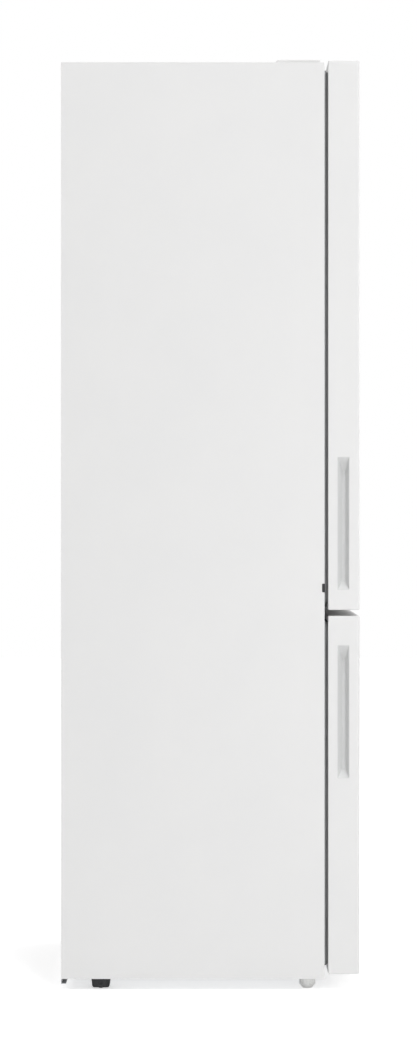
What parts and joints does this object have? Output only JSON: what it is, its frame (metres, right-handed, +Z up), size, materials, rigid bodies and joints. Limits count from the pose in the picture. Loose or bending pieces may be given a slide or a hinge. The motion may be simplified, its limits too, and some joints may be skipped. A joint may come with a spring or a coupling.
{
  "type": "fridge freezer",
  "caption": "Tall white free-standing fridge freezer: a fridge compartment over a freezer with drawers, with two right-hung doors that have finger recesses in their edges.",
  "frame": {"origin": "on the floor under the middle of the whole appliance, doors included", "axes": "+Z up, -Y out of the doors' front, +X towards the hinged side, on the right seen from the front"},
  "size_m": [0.595, 0.652, 2.03],
  "materials": {
    "painted_white": "satin white paint",
    "moulded_white": "satin white moulding",
    "liner_white": "glossy white vacuum-formed sheet",
    "galvanised": "galvanised sheet",
    "foam": "rigid insulation foam",
    "hinge_steel": "zinc-plated steel",
    "screw_steel": "bright zinc",
    "black_plastic": "matte black moulding",
    "black_paint": "black enamel",
    "dark_rubber": "matte rubber",
    "roller_plastic": "dark grey nylon",
    "grey_plastic": "grey moulding",
    "copper": "bare copper",
    "aluminium": "bare aluminium",
    "seal_grey": "light grey soft seal",
    "glass": "clear toughened glass",
    "clear_plastic": "clear moulding",
    "drawer_plastic": "milky clear moulding",
    "lens": "frosted lens",
    "accent_grey": "grey moulding",
    "fan_white": "white moulding",
    "foot_plastic": "light grey nylon"
  },
  "bodies": {
    "cabinet": {"side_panel_left": "painted_white", "side_panel_right": "painted_white", "top_panel": "painted_white", "back_panel": "galvanised", "foam_body": "foam", "fridge_liner": "liner_white", "freezer_liner": "liner_white", "base_plate": "galvanised", "center_rail": "painted_white", "top_trim": "moulded_white", "top_hinge": "hinge_steel", "middle_hinge": "hinge_steel", "bottom_hinge": "hinge_steel", "hinge_screws": "screw_steel", "hinge_plugs": "black_plastic", "compressor": "black_paint", "compressor_mounts": "dark_rubber", "drip_tray": "black_plastic", "roller_housings": "roller_plastic", "condenser_coils": "copper", "refrigerant_lines": "copper", "evaporator": "aluminium", "evaporator_cover": "moulded_white", "fan_motor": "grey_plastic", "air_duct": "moulded_white", "control_box": "moulded_white", "lamp_lens": "lens", "power_box": "black_plastic", "glass_shelves": "glass", "shelf_trims": "moulded_white"},
    "upper_door": {"upper_door_panel": "painted_white", "upper_door_caps": "moulded_white", "upper_door_foam": "foam", "upper_door_liner": "liner_white", "upper_door_grip": "moulded_white", "upper_door_gasket": "seal_grey", "door_bin_1": "clear_plastic", "door_bin_2": "clear_plastic", "door_bin_3": "clear_plastic", "bottle_bin": "clear_plastic"},
    "lower_door": {"lower_door_panel": "painted_white", "lower_door_caps": "moulded_white", "lower_door_foam": "foam", "lower_door_liner": "liner_white", "lower_door_grip": "moulded_white", "lower_door_gasket": "seal_grey"},
    "dairy_lid": {"dairy_lid": "clear_plastic"},
    "bottle_holder": {"bottle_holder": "accent_grey"},
    "crisper": {"crisper_drawer": "clear_plastic"},
    "humidity_slider": {"humidity_slider": "accent_grey"},
    "drawer_top": {"freezer_drawer_top": "drawer_plastic"},
    "drawer_middle": {"freezer_drawer_middle": "drawer_plastic"},
    "drawer_bottom": {"freezer_drawer_bottom": "drawer_plastic"},
    "foot_left": {"front_foot_left": "foot_plastic"},
    "foot_right": {"front_foot_right": "foot_plastic"},
    "roller_left": {"rear_roller_left": "roller_plastic"},
    "roller_right": {"rear_roller_right": "roller_plastic"},
    "fan": {"fan_blade": "fan_white"},
    "dial": {"thermostat_dial": "accent_grey"},
    "button": {"freeze_button": "accent_grey"}
  },
  "joints": [
    {"name": "upper_door_hinge", "type": "hinge", "parent": "cabinet", "child": "upper_door", "pos_m": [0.28, -0.292, 1.4295], "axis": [0, 0, 1], "range_deg": [0, 120]},
    {"name": "lower_door_hinge", "type": "hinge", "parent": "cabinet", "child": "lower_door", "pos_m": [0.28, -0.292, 0.426], "axis": [0, 0, 1], "range_deg": [0, 120]},
    {"name": "dairy_lid_hinge", "type": "hinge", "parent": "upper_door", "child": "dairy_lid", "pos_m": [0, -0.2487, 1.807], "axis": [1, 0, 0], "range_deg": [0, 90]},
    {"name": "bottle_holder_slide", "type": "slide", "parent": "upper_door", "child": "bottle_holder", "axis": [1, 0, 0], "range_m": [-0.15, 0.15]},
    {"name": "crisper_slide", "type": "slide", "parent": "cabinet", "child": "crisper", "axis": [0, -1, 0], "range_m": [0, 0.245]},
    {"name": "humidity_slide", "type": "slide", "parent": "crisper", "child": "humidity_slider", "axis": [1, 0, 0], "range_m": [-0.02, 0.02]},
    {"name": "drawer_top_slide", "type": "slide", "parent": "cabinet", "child": "drawer_top", "axis": [0, -1, 0], "range_m": [0, 0.21]},
    {"name": "drawer_middle_slide", "type": "slide", "parent": "cabinet", "child": "drawer_middle", "axis": [0, -1, 0], "range_m": [0, 0.21]},
    {"name": "drawer_bottom_slide", "type": "slide", "parent": "cabinet", "child": "drawer_bottom", "axis": [0, -1, 0], "range_m": [0, 0.15]},
    {"name": "foot_left_screw", "type": "slide", "parent": "cabinet", "child": "foot_left", "axis": [0, 0, -1], "range_m": [0, 0.015]},
    {"name": "foot_right_screw", "type": "slide", "parent": "cabinet", "child": "foot_right", "axis": [0, 0, -1], "range_m": [0, 0.015]},
    {"name": "roller_left_spin", "type": "hinge", "parent": "cabinet", "child": "roller_left", "pos_m": [-0.262, 0.24, 0.014], "axis": [1, 0, 0], "continuous": true},
    {"name": "roller_right_spin", "type": "hinge", "parent": "cabinet", "child": "roller_right", "pos_m": [0.262, 0.24, 0.014], "axis": [1, 0, 0], "continuous": true},
    {"name": "fan_spin", "type": "hinge", "parent": "cabinet", "child": "fan", "pos_m": [0, 0.206, 0.7005], "axis": [0, 1, 0], "continuous": true},
    {"name": "dial_turn", "type": "hinge", "parent": "cabinet", "child": "dial", "pos_m": [0.06, -0.13, 1.946], "axis": [0, -1, 0], "range_deg": [-135, 135]},
    {"name": "button_press", "type": "slide", "parent": "cabinet", "child": "button", "axis": [0, 1, 0], "range_m": [0, 0.002], "stiffness_N_per_m": 300}
  ],
  "couplings": [
    {"joint": "crisper_slide", "follows": "upper_door_hinge", "m_per_rad": 0.115},
    {"joint": "drawer_top_slide", "follows": "lower_door_hinge", "m_per_rad": 0.1},
    {"joint": "drawer_middle_slide", "follows": "lower_door_hinge", "m_per_rad": 0.1},
    {"joint": "drawer_bottom_slide", "follows": "lower_door_hinge", "m_per_rad": 0.07}
  ]
}
